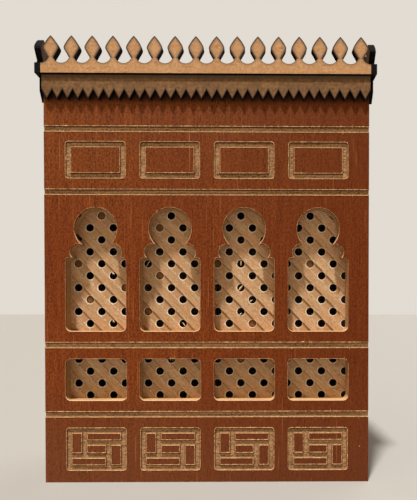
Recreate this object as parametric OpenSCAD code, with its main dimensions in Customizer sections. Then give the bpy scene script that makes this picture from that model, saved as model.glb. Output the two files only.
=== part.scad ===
// Tabletop mashrabiya screen: a shallow closed case of veneered board.
// Each face carries four storeys: fret panels, small windows, keyhole arches and framed panels.
// A drilled and channelled lattice board stands behind the windows and arches of the front and the sides.
// The back is blind: its windows and arches are shallow pockets, so that the case stays dark inside.
// A toothed skirt and a crest of bud finials run round the top.
// Sizes are in millimetres. The front faces -Y, +Z is up, and the origin is under the middle of the base.

/* [Case] */
// Width of the front panel
case_w = 300; // [290:1:330]
// Height of the case from its base to its roof
case_h = 383; // [376:1:420]
// Depth of the case from the front panel's face to the back board's face
case_d = 96; // [87:1:120]
// Thickness of the front panel and the back board
panel_t = 12; // [9:0.5:12]
// Thickness of the walls, roof and floor
board_t = 9; // [6:0.5:10]

/* [Storeys] */
// Distance between the middles of two columns
column_pitch = 68.6; // [64:0.2:70]
// Least distance from an outer window to the inside of the walls
column_edge = 3; // [2:0.5:12]
// Plain board below the fret panels
base_margin = 11; // [8:0.5:16]
// Distance from a fret panel, window or arch sill to the middle of the storey line beside it
row_gap = 12.6; // [9:0.2:15]
// Distance from the top of an arch to the middle of the storey line above it
head_gap = 13.9; // [9:0.1:16]
// Distance from a framed panel to the middle of the storey line above it
frame_gap = 11.5; // [8:0.1:14]
// Distance from a framed panel to the middle of the storey line below it
frame_foot = 12.5; // [8:0.1:14]

/* [Routed grooves] */
// Width of a routed groove, which is the width of the cutter
groove_w = 5.3; // [3:0.1:5.6]
// Depth of a routed groove
groove_d = 1; // [0.4:0.1:2]
// Width of a fret panel over its outer groove
fret_w = 55.4; // [50:0.2:60]
// Height of a fret panel over its outer groove
fret_h = 39.7; // [36:0.1:44]
// Distance from the middle of a fret panel to its upright keys
fret_key_x = 11; // [9:0.5:14]
// Distance from the middle of a fret panel to its level keys
fret_key_z = 6; // [5.8:0.1:8]
// Width of a framed panel over its groove
frame_w = 55.2; // [48:0.2:60]
// Height of a framed panel over its groove
frame_h = 34; // [28:0.1:40]

/* [Openings] */
// Width of a small window
window_w = 56.8; // [48:0.2:58]
// Height of a small window
window_h = 39.1; // [32:0.1:44]
// Radius of a small window's corners and of an arch's foot corners
corner_r = 5; // [2:0.5:8]
// Width of an arch between its jambs
arch_w = 56; // [52:0.5:58]
// Height of an arch's jambs from the sill to the shoulder
jamb_h = 68.6; // [56:0.2:76]
// Radius of an arch's shoulder corners
shoulder_r = 3; // [1:0.5:4]
// Radius of the small lobes that stand on the shoulders
lobe_r = 8; // [7:0.1:9]
// Distance from the middle of an arch to the middle of a lobe
lobe_x = 16; // [15:0.1:17]
// Height of a lobe's middle above the shoulder
lobe_rise = 4.7; // [4:0.1:5.5]
// Radius of the round head of an arch
head_r = 20; // [19:0.1:22]
// Height of the head's middle above the shoulder
head_rise = 26.3; // [25:0.1:27]

/* [Lattice] */
// Thickness of a lattice board
lattice_t = 5; // [3:0.5:6]
// How far a lattice board laps the panel above the arches and below the windows
lattice_lap = 8; // [4:0.5:10]
// Gap between a lattice board's edge and the boards beside it
lattice_clear = 0.5; // [0.2:0.1:1]
// Least plain margin from a lattice board's edge to the middle of a hole
lattice_margin = 11.5; // [8:0.5:11.5]
// Distance between the holes of one level row
hole_pitch_x = 22.13; // [20:0.01:26]
// Distance between the holes of one upright column
hole_pitch_z = 22.82; // [20:0.01:26]
// Diameter of a lattice hole
hole_d = 6.7; // [4:0.1:7]
// Width of a diagonal channel between two slats
channel_w = 7.2; // [7:0.1:10]
// Depth of a diagonal channel
channel_d = 0.8; // [0.3:0.1:2]
// How far a channel's straight run goes on past the middle of its last hole
channel_run = 4; // [0:0.5:5]
// How far the cutter, dwelling at a channel's end, widens it on each side
channel_flare = 0.15; // [0.1:0.05:0.4]
// How far the front lattice's holes sit to the left of the middle
lattice_left = 2.3; // [0:0.1:3]
// How far the lattices' holes sit below the middle of their boards
lattice_drop = 1.1; // [0:0.1:4]

/* [Drilling discs left in] */
// Gap round a drilling disc that never fell out of its hole
disc_clear = 0.1; // [0.05:0.05:0.3]
// How far such a disc sits behind the floor of its channel
disc_recess = 0.6; // [0:0.1:1.5]
// Thickness of such a disc
disc_t = 2.5; // [0.5:0.1:3]

/* [Skirt] */
// Thickness of the toothed skirt
skirt_t = 3.6; // [2:0.1:5]
// Height of the skirt from its tooth tips to its top
skirt_h = 22.3; // [16:0.1:24]
// Height of a skirt tooth
tooth_h = 8.5; // [4:0.1:12]
// Nominal distance between two teeth
tooth_pitch = 9.375; // [6:0.125:14]

/* [Crest] */
// Thickness of the crest
crest_t = 5.5; // [3:0.5:8]
// How far the crest laps down over the top edge of the case
crest_lap = 7.9; // [5:0.1:10]
// Height of the solid band below the scallops
crest_band_h = 8.8; // [6:0.1:12]
// Radius of the scallops between the finials
scallop_r = 7.7; // [6.5:0.1:7.8]
// Height of a finial's neck above the bottom of the scallops
neck_rise = 4.7; // [4:0.1:6]
// Height from a finial's neck to its widest place
bud_drop = 7.2; // [5:0.1:9]
// Width of a finial's bud at its widest place
bud_w = 12.8; // [10:0.1:15]
// Height from a bud's widest place to its tip
bud_rise = 12.8; // [9:0.1:18]
// How far a bud's upper sides bulge out of straight lines
bud_bulge = 0.4; // [0.2:0.1:1]
// Nominal distance between two finials
finial_pitch = 18.75; // [18.5:0.05:24]
// How far the finials of a side crest sit to the right of its middle, for someone who faces that side
crest_shift = 2; // [0:0.1:2.2]

/* [Hidden] */
$fn = 64;

// How far a cut runs on past the face that it starts from
over = 1;

// The walls, roof and floor fill the space between the front panel and the back board
wall_d = case_d - 2 * panel_t;
inner_w = case_w - 2 * board_t;

// Storey heights, stacked from the base
fret_z = base_margin + fret_h / 2;
fret_line_z = base_margin + fret_h + row_gap;
window_z = fret_line_z + row_gap + window_h / 2;
window_line_z = window_z + window_h / 2 + row_gap;
sill_z = window_line_z + row_gap;
arch_h = jamb_h + head_rise + head_r;
arch_line_z = sill_z + arch_h + head_gap;
frame_z = arch_line_z + frame_foot + frame_h / 2;
frame_line_z = frame_z + frame_h / 2 + frame_gap;
storey_lines = [fret_line_z, window_line_z, arch_line_z, frame_line_z];

// Lattice boards: from below the windows to above the arches
lattice_low_z = window_z - window_h / 2 - lattice_lap;
lattice_high_z = sill_z + arch_h + lattice_lap;
lattice_h = lattice_high_z - lattice_low_z;
front_lattice_w = inner_w - 2 * lattice_clear;
side_lattice_w = wall_d - 2 * lattice_t - 2 * lattice_clear;
step_x = hole_pitch_x / 2;
step_z = hole_pitch_z / 2;
hole_rows = floor((lattice_h - 2 * lattice_margin) / step_z) + 1;
first_row_z = (lattice_low_z + lattice_high_z - (hole_rows - 1) * step_z) / 2 - lattice_drop;

// Column and row, from the lower left, of the holes that still hold their disc
kept_discs = [[2, 15], [0, 11], [4, 9], [1, 8], [0, 5], [7, 14],
              [7, 10], [6, 7], [12, 11], [15, 6], [14, 3], [20, 11]];

// Heights of the skirt and crest
crest_z = case_h - crest_lap;
skirt_z = crest_z - skirt_h;

// Middles of the columns on a board: as many as fit in the width w that is free behind it
function column_places(w) =
  let (count = floor((w - 2 * column_edge - window_w) / column_pitch) + 1)
    [for (k = [0:1:count - 1]) (k - (count - 1) / 2) * column_pitch];

// Number of hole columns on a lattice board of width w
function hole_columns(w) = 2 * floor((w / 2 - lattice_margin) / step_x) + 1;

// Middle of the hole in column c and row r, with the board's middle column at x
function hole_at(c, r, columns, x) = [x + (c - (columns - 1) / 2) * step_x, first_row_z + r * step_z];

// Stands a flat outline upright as a plate of thickness t with its face at y = 0, facing -Y
module upright(t) {
  translate([0, t, 0])
    rotate([90, 0, 0])
      linear_extrude(t)
        children();
}

// Sets a piece, whose outer face is at y = 0, on the front
module on_front() {
  translate([0, -case_d / 2, 0])
    children();
}

// Turns such a piece to face out of the left side
module on_left() {
  translate([-case_w / 2, 0, 0])
    rotate([0, 0, -90])
      children();
}

// Turns such a piece to face out of the right side
module on_right() {
  translate([case_w / 2, 0, 0])
    rotate([0, 0, 90])
      children();
}

// Turns such a piece to face out of the back
module on_back() {
  translate([0, case_d / 2, 0])
    rotate([0, 0, 180])
      children();
}

// Rectangle about the origin with four round corners
module round_rectangle(w, h, r) {
  square([w - 2 * r, h], center = true);
  square([w, h - 2 * r], center = true);
  for (sx = [-1, 1], sz = [-1, 1])
    translate([sx * (w / 2 - r), sz * (h / 2 - r)])
      circle(r);
}

// Slot from point a to point b, with round ends that are a little wider
module slot(a, b, w, flare) {
  run = b - a;
  translate(a)
    rotate(atan2(run[1], run[0]))
      translate([0, -w / 2])
        square([norm(run), w]);
  for (p = [a, b])
    translate(p)
      circle(w / 2 + flare);
}

// Groove ring: the cutter rounds its outer corners and leaves the panel inside it sharp
module groove_ring(w, h) {
  difference() {
    round_rectangle(w, h, groove_w / 2);
    square([w - 2 * groove_w, h - 2 * groove_w], center = true);
  }
}

// Fret panel: a ring with four keys that turn round its middle like a pinwheel
module fret_grooves() {
  groove_ring(fret_w, fret_h);
  for (turn = [0, 180])
    rotate(turn) {
      translate([-fret_key_x - groove_w / 2, -fret_key_z])
        square([groove_w, fret_key_z + fret_h / 2 - groove_w / 2]);
      translate([-fret_key_x, fret_key_z - groove_w / 2])
        square([fret_key_x + fret_w / 2 - groove_w / 2, groove_w]);
    }
}

// Keyhole arch with its sill on the origin: jambs, two lobes on the shoulders and a round head
module arch_outline() {
  neck_w = 2 * lobe_x - lobe_r;
  translate([-arch_w / 2, corner_r])
    square([arch_w, jamb_h - corner_r - shoulder_r]);
  translate([corner_r - arch_w / 2, 0])
    square([arch_w - 2 * corner_r, jamb_h / 2]);
  translate([shoulder_r - arch_w / 2, jamb_h / 2])
    square([arch_w - 2 * shoulder_r, jamb_h / 2]);
  for (s = [-1, 1]) {
    translate([s * (arch_w / 2 - corner_r), corner_r])
      circle(corner_r);
    translate([s * (arch_w / 2 - shoulder_r), jamb_h - shoulder_r])
      circle(shoulder_r);
    translate([s * lobe_x, jamb_h + lobe_rise])
      circle(lobe_r);
  }
  translate([-neck_w / 2, jamb_h / 2])
    square([neck_w, jamb_h / 2 + head_rise]);
  translate([0, jamb_h + head_rise])
    circle(head_r);
}

// Openings of one column
module column_openings() {
  translate([0, window_z])
    round_rectangle(window_w, window_h, corner_r);
  translate([0, sill_z])
    arch_outline();
}

// Grooves of one column
module column_grooves() {
  translate([0, fret_z])
    fret_grooves();
  translate([0, frame_z])
    groove_ring(frame_w, frame_h);
}

// Upright board of width w and thickness t with its storeys, and a column of openings at each x of columns
// On a blind board the openings are only as deep as the grooves
module storeyed_board(w, t, columns, blind = false) {
  difference() {
    upright(t)
      difference() {
        translate([-w / 2, 0])
          square([w, case_h]);
        if (!blind)
          for (x = columns)
            translate([x, 0])
              column_openings();
      }
    translate([0, -over, 0])
      upright(groove_d + over) {
        for (x = columns)
          translate([x, 0]) {
            column_grooves();
            if (blind)
              column_openings();
          }
        for (z = storey_lines)
          translate([-w / 2 - over, z - groove_w / 2])
            square([w + 2 * over, groove_w]);
      }
  }
}

// Lattice board of width w: drilled holes in staggered rows, joined by sloping channels between slats
module lattice_board(w, x) {
  columns = hole_columns(w);
  last = columns - 1;
  top = hole_rows - 1;
  lean = [step_x, -step_z] / norm([step_x, step_z]) * channel_run;
  difference() {
    upright(lattice_t)
      difference() {
        translate([-w / 2, lattice_low_z])
          square([w, lattice_h]);
        for (c = [0:last], r = [0:top])
          if ((c + r) % 2 == 1)
            translate(hole_at(c, r, columns, x))
              circle(d = hole_d);
      }
    translate([0, -over, 0])
      upright(channel_d + over)
        for (s = [1:2:last + top]) {
          first_c = max(0, s - top);
          last_c = min(last, s);
          slot(hole_at(first_c, s - first_c, columns, x) - lean,
               hole_at(last_c, s - last_c, columns, x) + lean,
               channel_w, channel_flare);
        }
  }
}

// Toothed strip of length w with its tooth tips at z = 0
module toothed_strip(w) {
  count = round(w / tooth_pitch);
  pitch = w / count;
  teeth = [for (k = [0:count - 1], half = [0.5, 1]) [(k + half) * pitch - w / 2, half == 1 ? tooth_h : 0]];
  upright(skirt_t)
    polygon(concat([[w / 2, skirt_h], [-w / 2, skirt_h], [-w / 2, tooth_h]], teeth));
}

// Bud of a finial with its neck, of width neck_w, on the origin: straight below its widest place, bulging above it
module bud(neck_w) {
  half = bud_w / 2;
  chord = norm([half, bud_rise]);
  side_r = (chord * chord / 4 + bud_bulge * bud_bulge) / (2 * bud_bulge);
  inset = (side_r - bud_bulge) / chord;
  side_x = half / 2 - bud_rise * inset;
  side_z = bud_drop + bud_rise / 2 - half * inset;
  slope = (half - neck_w / 2) / bud_drop;
  root = bud_drop / 4;
  root_x = neck_w / 2 - slope * root;
  reach = bud_drop + 2 * bud_rise;
  reach_x = neck_w / 2 + slope * reach;
  intersection() {
    translate([side_x, side_z])
      circle(side_r);
    translate([-side_x, side_z])
      circle(side_r);
    polygon([[-root_x, -root], [root_x, -root], [reach_x, reach], [-reach_x, reach]]);
  }
}

// Crest strip of length w with its lower edge at z = 0: a scalloped band with its finials moved by shift
module crest_strip(w, shift) {
  count = round(w / finial_pitch);
  pitch = w / count;
  start = shift - w / 2;
  neck_z = crest_band_h + neck_rise;
  scallop_z = crest_band_h + scallop_r;
  neck_w = pitch - 2 * sqrt(scallop_r * scallop_r - pow(scallop_r - neck_rise, 2));
  upright(crest_t) {
    difference() {
      translate([-w / 2, 0])
        square([w, (neck_z + scallop_z) / 2]);
      for (k = [0:count])
        translate([start + k * pitch, scallop_z])
          circle(scallop_r);
    }
    for (k = [0:count - 1])
      translate([start + (k + 0.5) * pitch, neck_z])
        bud(neck_w);
  }
}

// Front panel, full width, standing in front of the walls
module front_panel() {
  color("sienna")
    on_front()
      storeyed_board(case_w, panel_t, column_places(inner_w));
}

// Left wall, between the front panel and the back board
module left_wall() {
  color("sienna")
    on_left()
      storeyed_board(wall_d, board_t, column_places(wall_d));
}

// Right wall, between the front panel and the back board
module right_wall() {
  color("sienna")
    on_right()
      storeyed_board(wall_d, board_t, column_places(wall_d));
}

// Back board, full width, which repeats the front panel's storeys with blind openings
module back_board() {
  color("sienna")
    on_back()
      storeyed_board(case_w, panel_t, column_places(inner_w), blind = true);
}

// Level board that fills the space between the upright boards, with its underside at height z
module level_board(z) {
  translate([-inner_w / 2, -wall_d / 2, z])
    cube([inner_w, wall_d, board_t]);
}

// Board that closes the top
module roof_board() {
  color("sienna")
    level_board(case_h - board_t);
}

// Board that the case stands on
module floor_board() {
  color("saddlebrown")
    level_board(0);
}

// Lattice for a side, to stand behind its wall
module side_lattice() {
  translate([0, board_t, 0])
    lattice_board(side_lattice_w, 0);
}

// Lattice behind the front panel
module front_lattice() {
  color("burlywood")
    on_front()
      translate([0, panel_t, 0])
        lattice_board(front_lattice_w, -lattice_left);
}

// Lattice behind the left wall
module left_lattice() {
  color("burlywood")
    on_left()
      side_lattice();
}

// Lattice behind the right wall
module right_lattice() {
  color("burlywood")
    on_right()
      side_lattice();
}

// Discs that stayed in their holes when the front lattice was drilled
module drilling_discs() {
  columns = hole_columns(front_lattice_w);
  color("peru")
    on_front()
      translate([0, panel_t + channel_d + disc_recess, 0])
        upright(disc_t)
          for (disc = kept_discs)
            if (disc[0] < columns && disc[1] < hole_rows)
              translate(hole_at(disc[0], disc[1], columns, -lattice_left))
                circle(d = hole_d - 2 * disc_clear);
}

// Toothed strip for the front or the back, as wide as the case
module wide_skirt() {
  translate([0, -skirt_t, skirt_z])
    toothed_strip(case_w);
}

// Toothed strip for a side, as long as the case is deep
module side_skirt() {
  translate([0, -skirt_t, skirt_z])
    toothed_strip(case_d);
}

// Toothed strip across the front
module front_skirt() {
  color("tan")
    on_front()
      wide_skirt();
}

// Toothed strip along the left side
module left_skirt() {
  color("tan")
    on_left()
      side_skirt();
}

// Toothed strip along the right side
module right_skirt() {
  color("tan")
    on_right()
      side_skirt();
}

// Toothed strip across the back
module back_skirt() {
  color("tan")
    on_back()
      wide_skirt();
}

// Crest for the front or the back, between the side crests
module wide_crest() {
  translate([0, -crest_t, crest_z])
    crest_strip(case_w, 0);
}

// Crest for a side, long enough to cover the ends of the wide crests
module side_crest() {
  translate([0, -crest_t, crest_z])
    crest_strip(case_d + 2 * crest_t, crest_shift);
}

// Crest across the front
module front_crest() {
  color("burlywood")
    on_front()
      wide_crest();
}

// Crest along the left side
module left_crest() {
  color("burlywood")
    on_left()
      side_crest();
}

// Crest along the right side
module right_crest() {
  color("burlywood")
    on_right()
      side_crest();
}

// Crest across the back
module back_crest() {
  color("burlywood")
    on_back()
      wide_crest();
}

front_panel();
left_wall();
right_wall();
back_board();
roof_board();
floor_board();
front_lattice();
left_lattice();
right_lattice();
drilling_discs();
front_skirt();
left_skirt();
right_skirt();
back_skirt();
front_crest();
left_crest();
right_crest();
back_crest();
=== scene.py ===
"""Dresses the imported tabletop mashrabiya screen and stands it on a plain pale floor.

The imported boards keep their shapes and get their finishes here. The crest is built with rounder buds in
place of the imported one. Sloping sides line the routed grooves and the openings. Geometry Nodes add the burr,
the chips and the torn fibres that the cutter left along the rims. A few slivers stay caught in the lattice.
"""

import logging
import math
from dataclasses import dataclass, field
from enum import Enum
from functools import partial
from typing import Any, Callable, Iterable, Mapping

import bmesh
import bpy
from bpy.types import Material, Mesh, Node, NodeSocket, NodeTree, Object
from mathutils import Euler, Matrix, Vector
from mathutils.geometry import tessellate_polygon


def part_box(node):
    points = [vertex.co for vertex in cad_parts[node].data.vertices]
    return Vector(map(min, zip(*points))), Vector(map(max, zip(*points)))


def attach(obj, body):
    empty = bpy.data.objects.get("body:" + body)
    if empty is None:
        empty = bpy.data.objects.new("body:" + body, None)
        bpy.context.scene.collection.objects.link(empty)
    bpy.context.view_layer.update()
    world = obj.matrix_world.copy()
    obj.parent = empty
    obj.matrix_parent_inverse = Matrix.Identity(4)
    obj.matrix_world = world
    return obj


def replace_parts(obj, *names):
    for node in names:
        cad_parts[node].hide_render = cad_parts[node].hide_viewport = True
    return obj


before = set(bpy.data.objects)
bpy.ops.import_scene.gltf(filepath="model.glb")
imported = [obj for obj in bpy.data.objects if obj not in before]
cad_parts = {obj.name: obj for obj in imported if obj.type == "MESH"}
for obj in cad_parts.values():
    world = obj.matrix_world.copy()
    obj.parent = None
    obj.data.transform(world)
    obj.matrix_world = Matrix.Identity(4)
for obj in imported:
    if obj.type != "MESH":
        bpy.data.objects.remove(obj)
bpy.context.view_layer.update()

MM = 0.001
NEAR_M = 1e-5
WELD_M = 1e-6
SHARP_ANGLE = 0.8
BODY = "root"
PHOTO_HEIGHT_PX = 500
NUMBER = "NodeSocketFloat"
VECTOR = "NodeSocketVector"
UP = Vector((0, 0, 1))

Colour = tuple[float, float, float, float]
Triple = tuple[float, float, float]
Pair = tuple[float, float]
log = logging.getLogger("mashrabiya")


class Slot(Enum):
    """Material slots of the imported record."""

    VENEER = "red_veneer"
    LATTICE = "lattice_wood"
    CUT = "cut_fibreboard"


class Side(Enum):
    """Faces of the case, each with its outward direction and the direction to its right from outside."""

    FRONT = ("front", (0, -1, 0), (1, 0, 0))
    LEFT = ("left", (-1, 0, 0), (0, -1, 0))
    RIGHT = ("right", (1, 0, 0), (0, 1, 0))
    BACK = ("back", (0, 1, 0), (-1, 0, 0))

    def __init__(self, label: str, outward: Triple, across: Triple) -> None:
        """Keeps the face's name and directions.

        Args:
            label: The face's name.
            outward: The direction out of it.
            across: The direction to its right, from outside.
        """
        self.label = label
        self.outward = Vector(outward)
        self.across = Vector(across)

    def reach(self, node: str) -> float:
        """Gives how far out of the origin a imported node's outer face lies, in millimetres."""
        low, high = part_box(node)
        return max(self.outward.dot(low), self.outward.dot(high)) / MM

    def half_length(self, node: str) -> float:
        """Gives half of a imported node's length along this face, in millimetres."""
        low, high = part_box(node)
        return abs(self.across.dot(high - low)) / 2 / MM

    def thickness(self, node: str) -> float:
        """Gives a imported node's thickness at this face, in millimetres."""
        low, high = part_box(node)
        return abs(self.outward.dot(high - low)) / MM


BOARDS = {
    Side.FRONT: "front_panel",
    Side.LEFT: "left_wall",
    Side.RIGHT: "right_wall",
    Side.BACK: "back_board",
}


def paint(red: int, green: int, blue: int) -> Colour:
    """Turns a colour as a screen shows it into the linear colour that the shaders take.

    Args:
        red: Red, from 0 to 255.
        green: Green, from 0 to 255.
        blue: Blue, from 0 to 255.

    Returns:
        The linear colour, with full alpha.
    """

    def linear(value: int) -> float:
        """Undoes the screen's curve for one channel."""
        share = value / 255
        return share / 12.92 if share <= 0.04045 else ((share + 0.055) / 1.055) ** 2.4

    return (linear(red), linear(green), linear(blue), 1.0)


@dataclass(frozen=True)
class Tint:
    """A colour that is mixed into another, and the largest share that it takes."""

    colour: Colour
    share: float


class Graph:
    """A node tree with short calls that add, fill and join its nodes."""

    def __init__(self, tree: NodeTree) -> None:
        """Keeps the tree."""
        self.tree = tree

    def feed(self, socket: NodeSocket, value: Any) -> None:
        """Links an output to a socket, or sets the socket's own value.

        Args:
            socket: The socket to fill.
            value: The output or the value.
        """
        if isinstance(value, NodeSocket):
            self.tree.links.new(value, socket)
        else:
            socket.default_value = value

    def add(self, kind: str, inputs: Mapping[Any, Any] | None = None, **settings: Any) -> Node:
        """Adds a node.

        Args:
            kind: The node's type.
            inputs: Values or outputs for its inputs, by name or place.
            settings: Values for the node's own properties.

        Returns:
            The new node.
        """
        node = self.tree.nodes.new(kind)
        for name, value in settings.items():
            setattr(node, name, value)
        for key, value in (inputs or {}).items():
            self.feed(node.inputs[key], value)
        return node

    def math(self, operation: str, *values: Any) -> NodeSocket:
        """Adds a Math node and gives its result."""
        return self.add("ShaderNodeMath", dict(enumerate(values)), operation=operation).outputs[0]

    def times(self, first: Any, second: Any) -> NodeSocket:
        """Multiplies two values."""
        return self.math("MULTIPLY", first, second)

    def minus(self, first: Any, second: Any) -> NodeSocket:
        """Takes one value from another."""
        return self.math("SUBTRACT", first, second)

    def line(self, value: Any, slope: Any, start: Any) -> NodeSocket:
        """Gives a start plus a slope times a value."""
        return self.math("MULTIPLY_ADD", value, slope, start)

    def weigh(self, values: Iterable[Any], shares: Iterable[float]) -> Any:
        """Adds up values, each times its share.

        Args:
            values: The values.
            shares: Their shares, in the same order.

        Returns:
            The sum.
        """
        total: Any = 0.0
        for value, share in zip(values, shares):
            total = self.line(value, share, total)
        return total

    def vector(self, operation: str, *values: Any) -> NodeSocket:
        """Adds a Vector Math node and gives its vector, or its number for a dot product or a length."""
        node = self.add("ShaderNodeVectorMath", dict(enumerate(values)), operation=operation)
        return node.outputs["Value" if operation in ("DOT_PRODUCT", "LENGTH") else "Vector"]

    def dot(self, vector: Any, way: Vector) -> NodeSocket:
        """Gives the part of a vector along a direction."""
        return self.vector("DOT_PRODUCT", vector, tuple(way))

    def combine(self, *parts: Any) -> NodeSocket:
        """Makes a vector of its parts."""
        return self.add("ShaderNodeCombineXYZ", dict(enumerate(parts))).outputs[0]

    def split(self, vector: Any) -> Any:
        """Gives the three parts of a vector."""
        return self.add("ShaderNodeSeparateXYZ", {0: vector}).outputs

    def scaled(self, vector: Any, x: Any, y: Any, z: Any) -> NodeSocket:
        """Divides a vector's parts by the sizes that a pattern has along them."""
        return self.vector("DIVIDE", vector, self.combine(x, y, z))

    def ramp(self, value: Any, low: float, high: float, start: Any = 0.0, end: Any = 1.0) -> Any:
        """Maps a value's range from low to high smoothly onto start to end."""
        inputs = {"Value": value, "From Min": low, "From Max": high, "To Min": start, "To Max": end}
        return self.add("ShaderNodeMapRange", inputs, interpolation_type="SMOOTHSTEP").outputs[0]

    def noise(self, vector: Any, detail: float = 2.0, roughness: float = 0.5) -> NodeSocket:
        """Adds a noise of unit size and gives its value."""
        inputs = {"Vector": vector, "Scale": 1.0, "Detail": detail, "Roughness": roughness}
        return self.add("ShaderNodeTexNoise", inputs).outputs[0]

    def spots(self, place: Any, size: Any, low: float, high: float, **kind: float) -> Any:
        """Gives where a noise of some size along each axis rises from low to high."""
        return self.ramp(self.noise(self.scaled(place, *size), **kind), low, high)

    def mix(self, share: Any, first: Any, second: Any) -> NodeSocket:
        """Mixes two colours."""
        inputs = {0: share, 6: first, 7: second}
        return self.add("ShaderNodeMix", inputs, data_type="RGBA").outputs[2]

    def stain(self, colour: Any, *layers: tuple[Any, Tint]) -> Any:
        """Mixes tints into a colour one after another, each where its mask lies.

        Args:
            colour: The colour to start from.
            layers: Each mask with its tint.

        Returns:
            The stained colour.
        """
        for mask, tint in layers:
            colour = self.mix(self.times(mask, tint.share), colour, tint.colour)
        return colour

    def group(self, tree: NodeTree, inputs: Mapping[str, Any]) -> Node:
        """Places a shared shader group."""
        return self.add("ShaderNodeGroup", inputs, node_tree=tree)


Fill = Callable[[Graph, Mapping[str, Any]], Any]


def shared_effect(name: str, inputs: Mapping[str, str]) -> Callable[[Fill], Callable[[], NodeTree]]:
    """Makes a shader group of a function that builds its inside and gives a number for each output.

    Args:
        name: The group's name.
        inputs: Each input's name and socket type.

    Returns:
        A decorator, which turns the function into one that gives the group and makes it only once.
    """

    def wrap(fill: Fill) -> Callable[[], NodeTree]:
        """Takes the function that builds the inside.

        Args:
            fill: The function.

        Returns:
            The function that gives the group.
        """

        def give() -> NodeTree:
            """Makes the group, or gives the one that is there.

            Returns:
                The group's tree.
            """
            tree = bpy.data.node_groups.get(name)
            if tree:
                return tree
            tree = bpy.data.node_groups.new(name, "ShaderNodeTree")
            for label, kind in inputs.items():
                tree.interface.new_socket(label, in_out="INPUT", socket_type=kind)
            graph = Graph(tree)
            source = graph.add("NodeGroupInput").outputs
            results = fill(graph, {label: source[label] for label in inputs})
            for label in results:
                tree.interface.new_socket(label, in_out="OUTPUT", socket_type=NUMBER)
            graph.add("NodeGroupOutput", results)
            return tree

        return give

    return wrap


@shared_effect("Wood Grain", {"Vector": VECTOR, "Ribbon Width": NUMBER, "Streak Width": NUMBER})
def grain_effect(graph: Graph, given: Mapping[str, Any]) -> Mapping[str, Any]:
    """Wood grain along the third axis: ribbons, streaks, short fibres, dark pores and rare pale hairlines.

    Args:
        graph: The tree to build in.
        given: The tree's inputs, by name.

    Returns:
        A number for each output.
    """
    streak_w = given["Streak Width"]

    def along(width: Any, length: float, **kind: float) -> Any:
        """Adds a noise that is some widths long along the grain."""
        return graph.noise(graph.scaled(given["Vector"], width, width, graph.times(width, length)), **kind)

    ribbon = along(given["Ribbon Width"], length=12.0, detail=3.0, roughness=0.55)
    streak = along(streak_w, length=40.0, detail=3.0, roughness=0.6)
    fibre = along(graph.times(streak_w, 0.9), length=2.2, detail=2.0, roughness=0.6)
    pores = along(graph.times(streak_w, 0.6), length=9.0, detail=1.0)
    lines = along(streak_w, length=60.0, detail=1.0)
    pore_mask = graph.ramp(pores, 0.58, 0.7)
    streak_tone = graph.ramp(streak, 0.3, 0.7)
    return {
        "Ribbon": graph.ramp(ribbon, 0.32, 0.68),
        "Streak": streak_tone,
        "Fibre": graph.ramp(fibre, 0.28, 0.72),
        "Pores": pore_mask,
        "Hairlines": graph.ramp(lines, 0.7, 0.78),
        "Height": graph.minus(streak_tone, pore_mask),
    }


@shared_effect("Cut Fibre", {"Vector": VECTOR, "Fleck Size": NUMBER})
def fibre_effect(graph: Graph, given: Mapping[str, Any]) -> Mapping[str, Any]:
    """Cut fibreboard: a fine mottle, darker flecks and level marks of the cutter.

    Args:
        graph: The tree to build in.
        given: The tree's inputs, by name.

    Returns:
        A number for each output.
    """
    place = given["Vector"]
    size = given["Fleck Size"]
    fleck_l = graph.times(size, 2.5)
    mark_l = graph.times(size, 40.0)
    mottle = graph.spots(place, (size, size, size), 0.3, 0.7, detail=4.0, roughness=0.65)
    flecks = graph.spots(place, (fleck_l, size, size), 0.62, 0.72, detail=1.0)
    marks = graph.spots(place, (mark_l, mark_l, size), 0.35, 0.65)
    height = graph.minus(graph.math("ADD", mottle, marks), flecks)
    return {"Mottle": mottle, "Flecks": flecks, "Marks": marks, "Height": height}


@shared_effect("Slow Patches", {"Vector": VECTOR, "Patch Size": NUMBER})
def patches_effect(graph: Graph, given: Mapping[str, Any]) -> Mapping[str, Any]:
    """Slow patches of tone, as a sheet of wood has from place to place."""
    size = given["Patch Size"]
    return {"Patches": graph.spots(given["Vector"], (size, size, graph.times(size, 2.0)), 0.35, 0.65)}


SCORCH_INPUTS = {
    "Vector": VECTOR,
    "Normal": VECTOR,
    "Outward": VECTOR,
    "Edge Distance": NUMBER,
    "Bleed": NUMBER,
}


@shared_effect("Scorch", SCORCH_INPUTS)
def scorch_effect(graph: Graph, given: Mapping[str, Any]) -> Mapping[str, Any]:
    """What a hot cut leaves: black cut edges, and a brown bleed on the faces beside them.

    Args:
        graph: The tree to build in.
        given: The tree's inputs, by name.

    Returns:
        A number for each output.
    """
    ragged = graph.noise(graph.scaled(given["Vector"], 1.2, 1.2, 1.2), detail=3.0)
    near = graph.minus(given["Edge Distance"], graph.times(ragged, given["Bleed"]))
    facing = graph.vector("DOT_PRODUCT", given["Normal"], given["Outward"])
    bleed = graph.times(given["Bleed"], 1.1)
    inputs = {"Value": near, "From Min": 0.0, "From Max": bleed, "To Min": 1.0, "To Max": 0.0}
    return {
        "Char": graph.ramp(graph.math("ABSOLUTE", facing), 0.35, 0.65, 1.0, 0.0),
        "Brown": graph.add("ShaderNodeMapRange", inputs).outputs[0],
    }


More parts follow.
